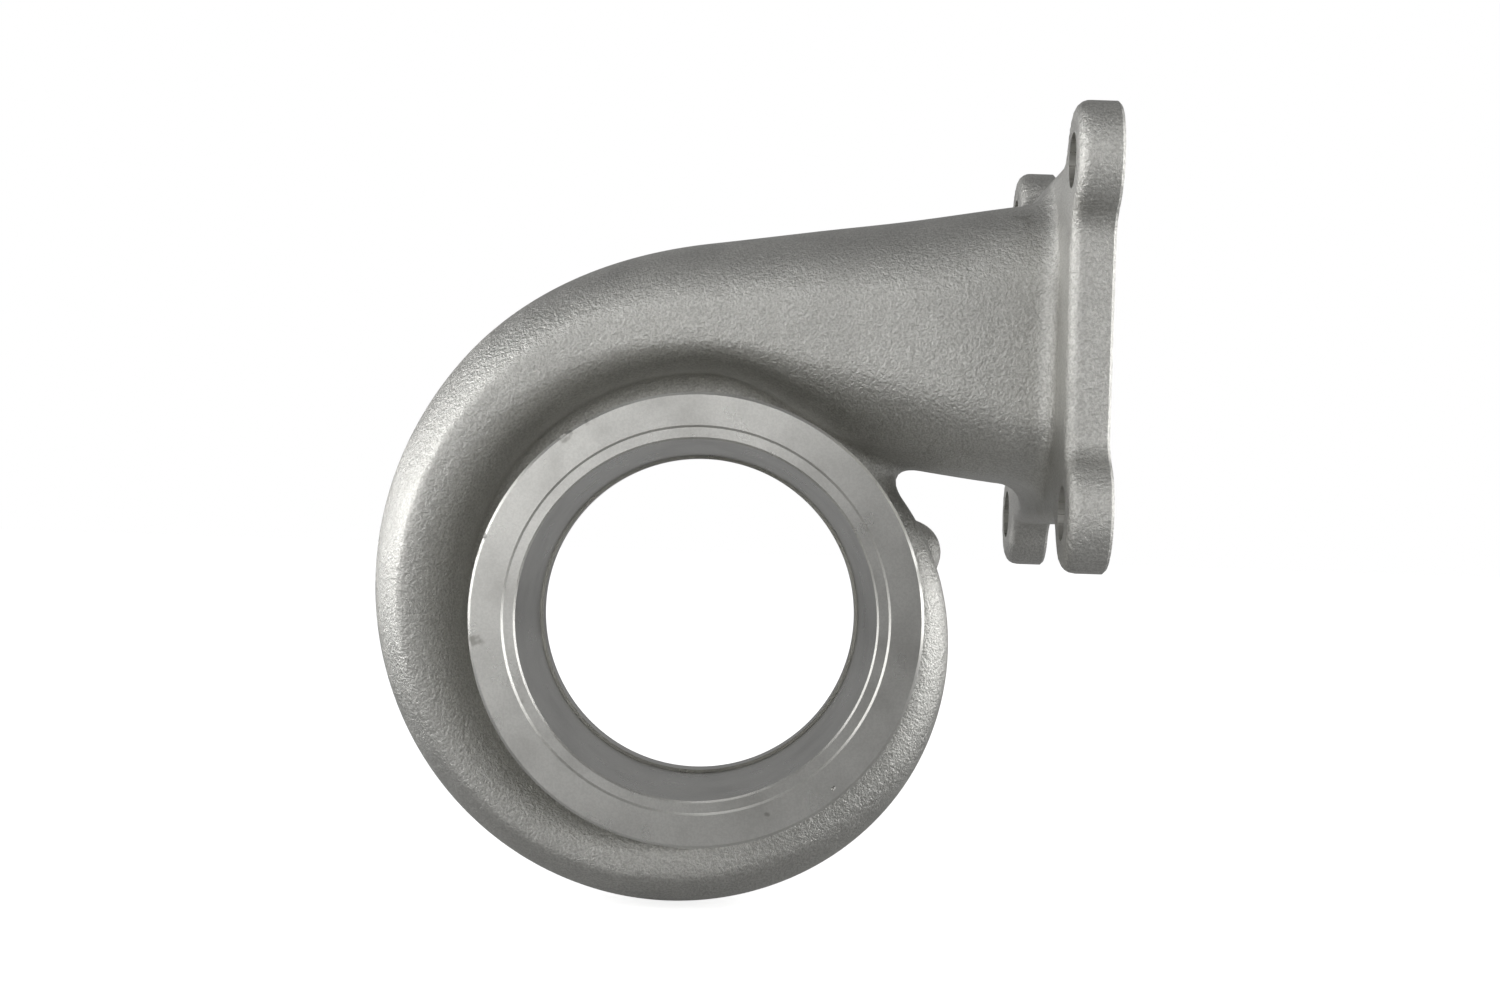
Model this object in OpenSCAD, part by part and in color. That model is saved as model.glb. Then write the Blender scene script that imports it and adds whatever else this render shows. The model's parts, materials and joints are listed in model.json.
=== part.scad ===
// Turbine housing of a turbocharger: one stainless investment casting, finish machined.
// Gas comes in through the four-bolt flange on the right, runs counterclockwise round the
// scroll and leaves through the round outlet at the front.
// Millimetres. The origin is on the turbine axis in the centre housing face. The axis is
// level, as it is in use: the outlet faces -Y, the inlet flange faces +X and +Z is up.
// The modules below are drawn round a turbine axis along Z, with the scroll's middle plane
// at zero, and the finished housing is turned into place once, at the end.

/* [Inlet flange] */
// Distance from the turbine axis to the machined face of the inlet flange
flange_face_x = 89.5; // [86:0.2:96]
// Height of the flange centre above the turbine axis
flange_centre_y = 65; // [62:0.1:68]
// Thickness of the flange plate
flange_t = 9.9; // [8:0.1:13]
// Bolt spacing across the flow, in the plane of the scroll
bolt_dy = 77.8; // [76:0.1:80]
// Bolt spacing along the turbine axis
bolt_dz = 116.6; // [114:0.1:119]
// Diameter of the bolt holes
bolt_hole_d = 12.2; // [10:0.1:13.5]
// Radius of the ear round each bolt hole
ear_r = 13.2; // [12:0.1:14.5]
// Half height of the flange between the ears
waist_y = 41.2; // [39.5:0.1:42.5]
// Half length of the flange between the ears
waist_z = 61.5; // [60:0.1:65]
// Radius of the hollow between an ear and the waist
ear_fillet_r = 8; // [6:0.5:10]
// Rounding of the as-cast back edge of the flange
back_edge_r = 3.2; // [1.5:0.1:3.8]
// Rounding of the front edge of the flange
front_edge_r = 1; // [0.6:0.1:1.6]

/* [Inlet neck] */
// Top of the neck where the flange fillet starts
neck_top_y = 98.8; // [97:0.1:100]
// Underside of the neck where the flange fillet starts
neck_bottom_y = 33.6; // [31:0.1:35]
// Half width of the neck where the flange fillet starts
neck_half_z = 39; // [37:0.1:41]
// Fillet between the neck and the back of the flange
neck_fillet_r = 7; // [4:0.5:9]
// Height of the rectangular gas port in the flange
port_dy = 54; // [48:0.5:58]
// Width of the rectangular gas port in the flange
port_dz = 68; // [62:0.5:70]

/* [Scroll] */
// Outer radius of the scroll at the top
scroll_r_top = 88.7; // [86:0.1:91]
// Outer radius of the scroll at the upper left
scroll_r_upper_left = 83.7; // [82:0.1:86]
// Outer radius of the scroll on the left
scroll_r_left = 78.8; // [76:0.1:82]
// Outer radius of the scroll at the bottom
scroll_r_bottom = 70.5; // [68:0.1:73]
// Outer radius of the scroll at the lower right
scroll_r_lower_right = 66.1; // [64:0.1:68]
// Outer radius of the scroll on the right, before the crotch
scroll_r_right = 60; // [58.5:0.1:62]
// Outer radius of the scroll's tail in the crotch
tail_r = 56.2; // [55.5:0.1:57]
// Half width of the scroll at the top
scroll_b_top = 33; // [31:0.1:36]
// Half width of the scroll at the bottom
scroll_b_bottom = 23.5; // [21:0.1:26]
// Half width of the scroll's tail
tail_b = 16; // [14:0.1:18]
// How far the scroll leans away from the outlet on its way round
scroll_lean = 4; // [0:0.5:6]
// Thickness of the casting's wall
wall = 5.2; // [4:0.1:6]
// Radius of the inner wall of the gas passage
gas_root_r = 48; // [47:0.5:50]

/* [Outlet] */
// Distance from the scroll's middle plane to the outlet face
outlet_z = 58.3; // [54:0.1:64]
// Outside diameter of the clamp ring at the outlet
ring_d = 100.6; // [98:0.1:104]
// Width of the ring's cylindrical rim
rim_w = 2.2; // [1.5:0.1:3]
// Slope of the ring's back face, for the band clamp
ring_slope = 20; // [15:1:25]
// Outside diameter of the neck behind the ring
neck_d = 90; // [88:0.2:92]
// Diameter of the shallow gasket recess in the outlet face
recess_d = 85; // [83:0.1:88]
// Depth of the gasket recess
recess_h = 0.5; // [0.3:0.1:1]
// Bore at the outlet face
mouth_d = 79.8; // [78:0.1:82]
// Bore round the turbine wheel's outlet blades
throat_d = 72.9; // [70:0.1:75]
// Distance from the scroll's middle plane to the outer end of that bore
throat_z = 23; // [16:0.1:25]
// Length of that bore
throat_h = 4; // [3:0.5:8]
// Width of the small chamfers on the machined edges
edge_c = 0.6; // [0.3:0.1:1]

/* [Turbine wheel and centre housing side] */
// Diameter of the wheel where the gas enters it
inducer_d = 82; // [80:0.5:84]
// Axial width of the slot that feeds the wheel
slot_w = 12; // [9:0.5:14]
// Distance from the scroll's middle plane to the centre housing face
centre_face_z = 40; // [37:0.5:44]
// Outside diameter of the centre housing flange between its bosses
centre_flange_d = 106; // [104:0.5:108]
// Diameter of the bore that locates the centre housing
pilot_d = 95; // [94:0.1:98]
// Depth of the locating bore
pilot_h = 7; // [4:0.5:9]
// Number of tapped bosses
boss_count = 6; // [6:1:8]
// Bolt circle of the tapped bosses
boss_pcd = 107.4; // [106:0.1:110]
// Diameter of each boss
boss_d = 16; // [14:0.2:18]
// Angle of the boss that shows beside the scroll
boss_angle = 16.9; // [10:0.1:24]
// Drilled diameter of the tapped holes
tap_d = 6.8; // [6.6:0.1:7.2]
// Depth of the tapped holes
tap_h = 12; // [9:0.5:13]

/* [Hidden] */
$fn = 96;

// Points in a quarter of a section, and the pitch of the sections
quarter = 16;
ring_n = 4 * quarter;
scroll_steps = 38;
gas_quarter = 8;
gas_n = 4 * gas_quarter;

// Where the scroll starts and where its tail ends
scroll_start = 90;
tail_end = 390;
// Fullness of the sections: 2 is an ellipse, more is closer to a rectangle
scroll_fullness = 2.35;
neck_fullness = 4.6;
// Where the neck's underside passes over the scroll's tail
crotch_x = 47;
crotch_y = 36.6;
// Radius at which a section closes inside the wall round the wheel
root_r = 42;
// The hollow between scroll and outlet neck: its depth for each millimetre of crest
valley_share = 0.4;
// How far the fillet climbs the outlet neck at the root radius
foot_rise = 8;
// Where along a section's side the hollow is deepest and where the fillet starts to climb
hollow_end = 0.75;
rise_start = 0.55;
// A section's sides take this share of its inner half, and its root bows out by this much
side_share = 0.75;
root_bow = 2;
// Change of the scroll's half width for each degree where it starts
width_slope = -0.03;

// Slopes of the neck's top line where it leaves the scroll and where it meets the flange
crest_slope = 0.14;
top_slope = 0.12;
// Slopes of the neck's underside in the crotch and where it meets the flange
crotch_slope = -0.15;
bottom_slope = -0.1;
// Slopes of the port's roof and floor at the flange face
port_top_slope = 0.03;
port_bottom_slope = -0.05;

flange_back_x = flange_face_x - flange_t;
neck_end_x = flange_back_x - neck_fillet_r;
neck_r = neck_d / 2;
throat_r = throat_d / 2;
// Step between the scroll's tail and the land that carries it on
land_step = 0.6;
// The web in the crotch: its hollow edge, and its width as a share of the tail's
crotch_r = 3;
web_share = 0.7;
// How deep the web reaches into the casting, as a share of its distance from the axis
web_foot = 0.8;
// How far the bosses stand up from the centre housing face, and the rounding of their ends
boss_h = 24;
boss_round = 5;
// Chamfer at the outer end of the wheel bore
lead_c = 0.6;
// The slot that feeds the wheel, inside the gas passage
slot_r = gas_root_r + 2;
slot_front = 0;
slot_back = -slot_w;
// Bore behind the wheel, up to the centre housing's spigot
seat_r = slot_r - 4;
// Shape of the gas passage: fullness of the port, pitch of the sections and its end
port_fullness = 6;
gas_steps = 28;
gas_end = 385;
overcut = 2;
// What is left on the centre housing side for turning its face
stock = 1.5;
// Angle of the drill's tip
drill_tip = 118;

function ramp(u) = let (v = min(1, max(0, u))) v * v * (3 - 2 * v);
function mix(a, b, u) = a + (b - a) * u;
function signed_power(v, e) = sign(v) * pow(abs(v), e);
// Cubic through two ends with a given slope at each
function cubic(x0, y0, s0, x1, y1, s1, x) =
    let (w = x1 - x0, u = (x - x0) / w)
    (2 * u ^ 3 - 3 * u ^ 2 + 1) * y0 + (u ^ 3 - 2 * u ^ 2 + u) * w * s0
    + (3 * u ^ 2 - 2 * u ^ 3) * y1 + (u ^ 3 - u ^ 2) * w * s1;
// Smooth curve through stations [place, value] that rise in place, with its first slope given
function through(stations, first_slope, x) =
    let (
        n = len(stations),
        k = max([for (j = [0:n - 2]) if (j == 0 || stations[j][0] <= x) j]),
        slope = function(j) let (a = stations[j - 1], b = stations[min(n - 1, j + 1)])
            j == 0 ? first_slope : (b[1] - a[1]) / (b[0] - a[0])
    )
    cubic(stations[k][0], stations[k][1], slope(k),
        stations[k + 1][0], stations[k + 1][1], slope(k + 1), x);

// Outer radius of the scroll, half width and lean at an angle
function scroll_r(a) = through([
    [90, scroll_r_top], [135, scroll_r_upper_left], [180, scroll_r_left],
    [270, scroll_r_bottom], [315, scroll_r_lower_right], [360, scroll_r_right],
    [390, tail_r]], -crest_slope * scroll_r_top * PI / 180, a);
function scroll_b(a) =
    through([[90, scroll_b_top], [270, scroll_b_bottom], [390, tail_b]], width_slope, a);
function scroll_z(a) = -scroll_lean * ramp((a - scroll_start) / 180);

// Rounded section, t degrees round from the outermost point
function rounded(t, fullness) =
    [signed_power(cos(t), 2 / fullness), signed_power(sin(t), 2 / fullness)];

// Inner half of a scroll section: from the crest down the hollow and up the fillet
// to the root, then across. v runs from 0 at the crest to 1 at the middle of the root.
function foot(v, crest_p, half) =
    let (
        u = min(1, v / side_share),
        hollow = valley_share * (crest_p - root_r) * sin(90 * min(1, u / hollow_end)) ^ 2,
        rise = foot_rise * max(0, (u - rise_start) / (1 - rise_start)) ^ 2,
        across = v <= side_share ? 1 : (1 - v) / (1 - side_share)
    )
    [mix(crest_p, root_r, u) - root_bow * (1 - across ^ 2), (half - hollow + rise) * across];

// Point of a scroll section: radius and height
function scroll_point(a, t, inset) =
    let (
        top = scroll_r(a) - inset, half = scroll_b(a) - inset,
        crest = (top + root_r) / 2, outer = cos(t) >= -0.001,
        side = t > 180 ? -1 : 1,
        e = rounded(t, scroll_fullness),
        f = foot(abs(abs(t - 180) - 90) / 90, crest, half)
    )
    outer ? [crest + (top - crest) * e[0], scroll_z(a) + half * e[1]]
        : [f[0], scroll_z(a) + side * f[1]];

// The neck: top line, underside, half width and fullness at a distance x from the axis
function neck_top(x) = cubic(0, scroll_r_top, crest_slope, neck_end_x, neck_top_y, top_slope, x);
function neck_bottom(x) = x < crotch_x
    ? cubic(0, root_r, 0, crotch_x, crotch_y, crotch_slope, x)
    : cubic(crotch_x, crotch_y, crotch_slope, neck_end_x, neck_bottom_y, bottom_slope, x);
function neck_b(x) = mix(scroll_b_top, neck_half_z, ramp(x / neck_end_x));
function neck_point(x, t) =
    let (
        top = neck_top(x), bottom = neck_bottom(x), half = neck_b(x),
        middle = (top + bottom) / 2,
        fullness = mix(scroll_fullness, neck_fullness, ramp(x / neck_end_x)),
        e = rounded(t, fullness),
        plain = [middle + (top - middle) * e[0], half * e[1]],
        side = t > 180 ? -1 : 1,
        f = foot(abs(abs(t - 180) - 90) / 90, middle, half),
        footed = [mix(middle, bottom, (middle - f[0]) / (middle - root_r)), side * f[1]]
    )
    cos(t) >= -0.001 ? plain : mix(footed, plain, ramp(x / crotch_x));

// Quarter outline of the flange from the middle of the waist round the ear,
// as [y, z] from the flange centre. e is the inset from the full outline.
ear_y = bolt_dy / 2;
ear_z = bolt_dz / 2;
reach = ear_r + ear_fillet_r;
hollow_1 = [waist_y + ear_fillet_r, ear_z - sqrt(reach ^ 2 - (waist_y + ear_fillet_r - ear_y) ^ 2)];
hollow_2 = [ear_y - sqrt(reach ^ 2 - (waist_z + ear_fillet_r - ear_z) ^ 2), waist_z + ear_fillet_r];
meet_1 = atan2(hollow_1[0] - ear_y, hollow_1[1] - ear_z);
meet_2 = atan2(hollow_2[0] - ear_y, hollow_2[1] - ear_z);
hollow_n = 3;
ear_n = quarter - 2 * hollow_n;
function arc_point(centre, r, angle) = [centre[0] + r * sin(angle), centre[1] + r * cos(angle)];
function quarter_point(j, e) =
    j == 0 ? [waist_y - e, 0]
    : j == quarter ? [0, waist_z - e]
    : j <= hollow_n ? arc_point(hollow_1, ear_fillet_r + e,
        mix(270, 180 + meet_1, (j - 1) / (hollow_n - 1)))
    : j < hollow_n + ear_n ? arc_point([ear_y, ear_z], ear_r - e,
        mix(meet_1, meet_2, (j - hollow_n) / ear_n))
    : arc_point(hollow_2, ear_fillet_r + e,
        mix(180 + meet_2, 180, (j - hollow_n - ear_n) / (hollow_n - 1)));
function flange_point(i, e) =
    let (
        q = floor(i / quarter), j = i - q * quarter,
        p = quarter_point(q % 2 == 0 ? j : quarter - j, e)
    )
    [flange_centre_y + (q == 0 || q == 3 ? 1 : -1) * p[0], (q < 2 ? 1 : -1) * p[1]];

// Rings of the casting's skin, from beyond the flange face round to the tail
function at_x(x, p) = [x, p[0], p[1]];
function at_angle(a, p) = [p[0] * cos(a), p[0] * sin(a), p[1]];
function section_t(i, n) = 360 * i / n;
function flange_ring(x, e) = [for (i = [0:ring_n - 1]) at_x(x, flange_point(i, e))];
function neck_ring(shape_x, x) = [for (i = [0:ring_n - 1])
    at_x(x, neck_point(shape_x, section_t(i, ring_n)))];
function scroll_ring(a) = [for (i = [0:ring_n - 1])
    at_angle(a, scroll_point(a, section_t(i, ring_n), 0))];
// Between the neck and the flange's back face, s is the angle along the fillet. Where the
// flange stands out little, the fillet ends at this share of what it does stand out.
fillet_share = 0.8;
function fillet_ring(s) = [for (i = [0:ring_n - 1])
    let (
        a = neck_point(neck_end_x, section_t(i, ring_n)),
        b = flange_point(i, back_edge_r),
        d = norm(b - a),
        go = min(neck_fillet_r, fillet_share * d) * (1 - cos(s))
    )
    at_x(neck_end_x + neck_fillet_r * sin(s), a + (b - a) * go / d)];

// The front edge is two flats, which meet at this share of its rounding
chamfer_share = 0.3;
skin_rings = concat(
    [
        neck_ring(neck_end_x, flange_face_x + 2 * overcut),
        flange_ring(flange_face_x + overcut, front_edge_r * 2),
        flange_ring(flange_face_x - chamfer_share * front_edge_r, chamfer_share * front_edge_r),
        flange_ring(flange_face_x - front_edge_r, 0)
    ],
    [for (s = [90, 60, 30, 0])
        flange_ring(flange_back_x + back_edge_r * (1 - cos(s)), back_edge_r * (1 - sin(s)))],
    [for (s = [90, 65, 40, 20]) fillet_ring(s)],
    [for (k = [8:-1:1]) let (x = neck_end_x * k / 8) neck_ring(x, x)],
    [for (k = [0:scroll_steps]) scroll_ring(mix(scroll_start, tail_end, k / scroll_steps))]
);

// Rings of the gas passage, from beyond the flange face round to the tongue
function gas_neck_point(x, t) =
    let (
        top = cubic(0, scroll_r_top - wall, crest_slope,
            flange_face_x, flange_centre_y + port_dy / 2, port_top_slope, x),
        bottom = cubic(0, gas_root_r, 0,
            flange_face_x, flange_centre_y - port_dy / 2, port_bottom_slope, x),
        half = mix(scroll_b_top - wall, port_dz / 2, ramp(x / flange_face_x)),
        e = rounded(t, mix(scroll_fullness, port_fullness, ramp(x / flange_face_x)))
    )
    [(top + bottom) / 2 + (top - bottom) / 2 * e[0], half * e[1]];
function gas_scroll_point(a, t) =
    let (
        top = scroll_r(a) - wall, half = scroll_b(a) - wall,
        e = rounded(t, scroll_fullness)
    )
    [(top + gas_root_r) / 2 + (top - gas_root_r) / 2 * e[0], scroll_z(a) + half * e[1]];
gas_rings = concat(
    [[for (i = [0:gas_n - 1])
        at_x(flange_face_x + overcut, gas_neck_point(flange_face_x, section_t(i, gas_n)))]],
    [for (k = [8:-1:1]) let (x = flange_face_x * k / 8)
        [for (i = [0:gas_n - 1]) at_x(x, gas_neck_point(x, section_t(i, gas_n)))]],
    [for (k = [0:gas_steps]) let (a = mix(scroll_start, gas_end, k / gas_steps))
        [for (i = [0:gas_n - 1]) at_angle(a, gas_scroll_point(a, section_t(i, gas_n)))]]
);

// Skin through rings of points. Each cap is a ladder of rungs from side to side, because
// the sections are symmetric about the line from their first point to their middle one.
module loft(rings) {
    n = len(rings[0]);
    last = len(rings) - 1;
    sides = [for (k = [0:last - 1], i = [0:n - 1])
        let (a = k * n + i, b = k * n + (i + 1) % n)
        [a, b, b + n, a + n]];
    ladder = concat(
        [[0, 1, n - 1]],
        [for (i = [1:n / 2 - 2]) [i, i + 1, n - i - 1, n - i]],
        [[n / 2 - 1, n / 2, n / 2 + 1]]
    );
    first_cap = [for (f = ladder) [for (j = [len(f) - 1:-1:0]) f[j]]];
    last_cap = [for (f = ladder) [for (v = f) v + last * n]];
    polyhedron(points = [for (r = rings, p = r) p], faces = concat(first_cap, last_cap, sides));
}

// The loft of the whole cast skin: flange, inlet neck and scroll
module cast_skin() loft(skin_rings);

// Turned body round the wheel: centre housing flange, outlet neck and clamp ring
module turned_body() {
    ring_r = ring_d / 2;
    rim_z = outlet_z - edge_c;
    slope_z = rim_z - rim_w;
    slope_end_r = neck_r + edge_c;
    rotate_extrude() polygon([
        [0, -centre_face_z - stock],
        [centre_flange_d / 2, -centre_face_z - stock],
        [centre_flange_d / 2, -tail_b],
        [neck_r, -tail_b],
        [neck_r, slope_z - (ring_r - slope_end_r) * tan(ring_slope) - edge_c],
        [slope_end_r, slope_z - (ring_r - slope_end_r) * tan(ring_slope)],
        [ring_r, slope_z],
        [ring_r, rim_z],
        [ring_r - edge_c, outlet_z],
        [0, outlet_z]
    ]);
}

// Where the scroll has run out, its last section carries on round under the inlet neck
module tail_land() {
    rotate_extrude() polygon([for (i = [0:2:ring_n - 1])
        scroll_point(tail_end, section_t(i, ring_n), land_step)]);
}

// Rounded web in the crotch between the tail and the underside of the neck
module crotch_web() {
    land_r = tail_r - land_step;
    centre_y = crotch_y - crotch_r;
    centre_x = sqrt((land_r + crotch_r) ^ 2 - centre_y ^ 2);
    meet = land_r / (land_r + crotch_r);
    translate([0, 0, scroll_z(tail_end) - tail_b * web_share]) linear_extrude(2 * tail_b * web_share)
        difference() {
            polygon([
                [centre_x * web_foot, centre_y * web_foot],
                [centre_x * meet, centre_y * meet],
                [centre_x, centre_y],
                [centre_x, crotch_y + wall / 2],
                [centre_x * web_foot, crotch_y + wall / 2]
            ]);
            translate([centre_x, centre_y]) circle(crotch_r);
        }
}

// Tapped boss for the centre housing, rounded where it runs into the scroll
module boss() {
    rotate_extrude() polygon([
        [0, -2 * stock], [boss_d / 2, -2 * stock], [boss_d / 2, boss_h - boss_round],
        for (a = [30, 60, 90]) [
            boss_d / 2 - boss_round * (1 - cos(a)),
            boss_h - boss_round * (1 - sin(a))],
        [0, boss_h]
    ]);
}

// Everything turned round the turbine axis: outlet, wheel contour, slot, pilot and centre
// housing face
module turned_bore() {
    lip_z = outlet_z - recess_h;
    inducer_r = inducer_d / 2;
    // The contour over the blades is a quarter of an ellipse
    contour_h = throat_z - throat_h - slot_front;
    rotate_extrude() polygon([
        [0, outlet_z + overcut],
        [recess_d / 2 + recess_h + overcut, outlet_z + overcut],
        [recess_d / 2, lip_z],
        [mouth_d / 2 + edge_c, lip_z],
        [mouth_d / 2, lip_z - edge_c],
        [throat_r + lead_c, throat_z + lead_c],
        [throat_r, throat_z],
        for (a = [0:15:90]) [
            inducer_r - (inducer_r - throat_r) * cos(a),
            slot_front + contour_h * (1 - sin(a))],
        [slot_r, slot_front],
        [slot_r, slot_back],
        [seat_r, slot_back],
        [seat_r, pilot_h - centre_face_z],
        [pilot_d / 2, pilot_h - centre_face_z],
        [pilot_d / 2, edge_c - centre_face_z],
        [pilot_d / 2 + edge_c, -centre_face_z],
        [(boss_pcd + boss_d) / 2 + overcut, -centre_face_z],
        [(boss_pcd + boss_d) / 2 + overcut, -centre_face_z - 3 * stock],
        [0, -centre_face_z - 3 * stock]
    ]);
}

module gas_passage() loft(gas_rings);

module bolt_holes() {
    for (sy = [-1, 1], sz = [-1, 1])
        translate([neck_end_x, flange_centre_y + sy * bolt_dy / 2, sz * bolt_dz / 2])
            rotate([0, 90, 0]) cylinder(d = bolt_hole_d, h = 2 * flange_t);
}

module tapped_hole() {
    translate([0, 0, -overcut]) cylinder(d = tap_d, h = tap_h + overcut);
    translate([0, 0, tap_h]) cylinder(d1 = tap_d, d2 = 0, h = tap_d / 2 / tan(drill_tip / 2));
}

module at_bosses() {
    for (k = [0:boss_count - 1]) rotate([0, 0, boss_angle + k * 360 / boss_count])
        translate([boss_pcd / 2, 0, -centre_face_z]) children();
}

// The casting as it leaves the foundry, with its gas passage cored
module casting() {
    difference() {
        union() {
            cast_skin();
            turned_body();
            tail_land();
            crotch_web();
            at_bosses() boss();
        }
        gas_passage();
    }
}

// The casting turned on its outlet side and its centre housing side
module turned_casting() {
    difference() {
        casting();
        turned_bore();
    }
}

module turbine_housing() {
    color("silver") translate([0, -centre_face_z, 0]) rotate([90, 0, 0]) difference() {
        turned_casting();
        bolt_holes();
        at_bosses() tapped_hole();
        // The flange face is machined flat
        translate([flange_face_x, 0, -bolt_dz]) cube([bolt_dz, 2 * bolt_dz, 2 * bolt_dz]);
    }
}

turbine_housing();
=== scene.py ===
"""Looks of the turbine housing: one cast and machined piece, its materials, light and camera.

The casting's skin is an implicit surface: every form of the casting is a distance function,
and round unions blend them with the foundry's fillets. The surface is meshed, and the
machining is then cut into it with turned and drilled tools, so cast and machined faces meet
in crisp edges. Shapes are worked out in millimetres in the casting's own coordinates:
x towards the inlet flange, u up and w towards the outlet, from the scroll's middle plane.
"""
import json
import math

import bmesh
import bpy
import numpy as np
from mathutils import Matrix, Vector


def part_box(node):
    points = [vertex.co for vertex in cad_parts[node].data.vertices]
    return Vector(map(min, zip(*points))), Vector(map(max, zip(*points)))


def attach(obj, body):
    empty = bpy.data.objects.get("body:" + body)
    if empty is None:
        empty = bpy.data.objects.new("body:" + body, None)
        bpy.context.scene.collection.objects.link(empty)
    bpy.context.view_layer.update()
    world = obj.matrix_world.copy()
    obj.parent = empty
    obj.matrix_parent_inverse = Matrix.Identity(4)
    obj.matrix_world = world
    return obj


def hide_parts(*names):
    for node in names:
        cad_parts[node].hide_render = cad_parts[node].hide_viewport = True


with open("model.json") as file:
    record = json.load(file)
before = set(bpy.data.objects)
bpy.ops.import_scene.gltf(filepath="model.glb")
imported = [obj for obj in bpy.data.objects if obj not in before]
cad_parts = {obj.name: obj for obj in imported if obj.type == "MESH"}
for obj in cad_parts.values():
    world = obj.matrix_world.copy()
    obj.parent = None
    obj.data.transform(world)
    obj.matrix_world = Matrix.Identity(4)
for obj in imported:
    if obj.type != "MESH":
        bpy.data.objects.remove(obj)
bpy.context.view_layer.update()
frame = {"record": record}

import openvdb
from mathutils import Matrix, Vector

NODE = "turbine_housing"
MM = 0.001

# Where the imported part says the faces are, in millimetres
BOX_LOW, BOX_HIGH = [np.array(corner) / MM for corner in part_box(NODE)]
MOUNTS = {m["name"]: m for m in frame["record"]["mounts"]}
FLANGE_FACE_X = MOUNTS["inlet_bolts"]["pos_m"][0] / MM
FLANGE_CENTRE_U = MOUNTS["inlet_bolts"]["pos_m"][2] / MM
CENTRE_FACE_W = MOUNTS["inlet_bolts"]["pos_m"][1] / MM
OUTLET_W = CENTRE_FACE_W - MOUNTS["outlet_face"]["pos_m"][1] / MM

# Inlet flange
FLANGE_T = 9.9
BOLT_DU = MOUNTS["inlet_bolts"]["dims"]["spacing_y_mm"]
BOLT_DW = MOUNTS["inlet_bolts"]["dims"]["spacing_x_mm"]
BOLT_HOLE_R = MOUNTS["inlet_bolts"]["dims"]["hole_r_mm"]
EAR_R = 13.2
EAR_FILLET_R = 8.0
WAIST_U = 41.2
WAIST_W = 61.5
BACK_EDGE_R = 3.2
FRONT_EDGE_C = 0.7
HOLE_C = 0.5

# Inlet neck and gas port
NECK_FILLET_R = 7.0
NECK_END_X = FLANGE_FACE_X - FLANGE_T - NECK_FILLET_R
NECK_TOP_U = 98.8
NECK_BOTTOM_U = 33.6
NECK_HALF_W = 39.0
# The neck's flat side ends at these heights, and its corners reach this far across,
# at distances x from the turbine axis
NECK_FLAT_TOP = [(0, 70.5), (24, 73.5), (48, 73.5), (72.6, 77.5)]
NECK_FLAT_BOTTOM = [(0, 64.5), (24, 61.5), (48, 57.0), (72.6, 49.5)]
FLAT_TOP_SLOPE = 0.1
FLAT_BOTTOM_SLOPE = -0.1
NECK_TOP_W = [(0, 29.0), (24, 30.0), (48, 33.0), (72.6, 25.0)]
NECK_BOTTOM_W = [(0, 16.0), (24, 23.0), (48, 32.0), (72.6, 21.0)]
CROTCH_X = 47.0
CROTCH_U = 36.6
CREST_SLOPE = 0.14
TOP_SLOPE = 0.12
CROTCH_SLOPE = -0.15
BOTTOM_SLOPE = -0.1
PORT_DU = 54.0
PORT_DW = 68.0
PORT_FULLNESS = 6.0
PORT_TOP_SLOPE = 0.03
PORT_BOTTOM_SLOPE = -0.05

# Scroll, at angles round the axis: outer radius, half width and its first slope, and tail
SCROLL_START = 90.0
SCROLL_R = [(90, 88.7), (135, 83.7), (180, 78.8), (270, 70.5), (315, 66.1), (360, 60.0),
            (390, 56.2), (400, 55.6), (450, 55.6)]
SCROLL_B = [(90, 33.0), (270, 23.5), (390, 16.0), (450, 6.0)]
SCROLL_B_SLOPE = -0.03
TAIL_B = 16.0
# Radii where the flat crest of a section ends, outside and inside, least width of the corner
# beyond it, radius of the inner wall, and how far across the front corners reach, outside and
# inside the crest. Corners at the back reach across a share of the half width
CREST_R = [(90, 70.5), (135, 71.0), (180, 69.5), (225, 66.8), (270, 61.5), (315, 56.5),
           (360, 51.5), (390, 50.0), (450, 49.5)]
FLAT_R = [(90, 64.5), (135, 67.0), (180, 68.5), (225, 65.5), (270, 57.5), (315, 52.5),
          (360, 49.0), (390, 48.0), (450, 48.0)]
CORNER_MIN = 1.0
ROOT_R = [(90, 57.0), (180, 56.0), (225, 54.0), (270, 51.0), (315, 49.0), (360, 47.0), (390, 46.0),
          (450, 46.0)]
OUTER_W = [(90, 29.0), (135, 20.0), (180, 12.5), (225, 10.0), (270, 10.0), (315, 9.0),
           (360, 7.0), (390, 6.0), (450, 4.0)]
INNER_W = [(90, 16.0), (180, 15.0), (270, 12.0), (360, 8.0), (390, 6.0), (450, 4.0)]
BACK_SHARE = 0.85
# The outer wall bows in towards both sides, by a share of its radius beyond BOW_FROM_R that
# grows over the first BOW_FADE degrees
BOW_SHARE = 0.2
BOW_FROM_R = 50.0
BOW_FADE = 60.0
# Floor of the hollow between the scroll and the outlet neck: its height and radii
HUB_W = 8.0
HUB_R = [(90, 66.5), (135, 66.5), (180, 65.5), (225, 62.8), (270, 57.5), (315, 53.5),
         (360, 50.0), (390, 47.0), (450, 66.5)]
# Sections lie further back by this much after LEAN_TURN degrees
SCROLL_LEAN = 4.0
LEAN_TURN = 180.0

# Gas passage: fullness of its section, wall, angle of its end, and points and rings of its skin.
# The gap that feeds the wheel starts FEED_LEAD degrees ahead of the scroll
SCROLL_FULLNESS = 2.35
WALL = 5.2
GAS_ROOT_R = 48.0
GAS_END = 385.0
GAS_POINTS = 96
PORT_RINGS = 40
SCROLL_RINGS = 120
FEED_W = 1.5
FEED_INSET = 0.5
FEED_LEAD = 30.0
FEED_POINTS = 48

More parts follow.
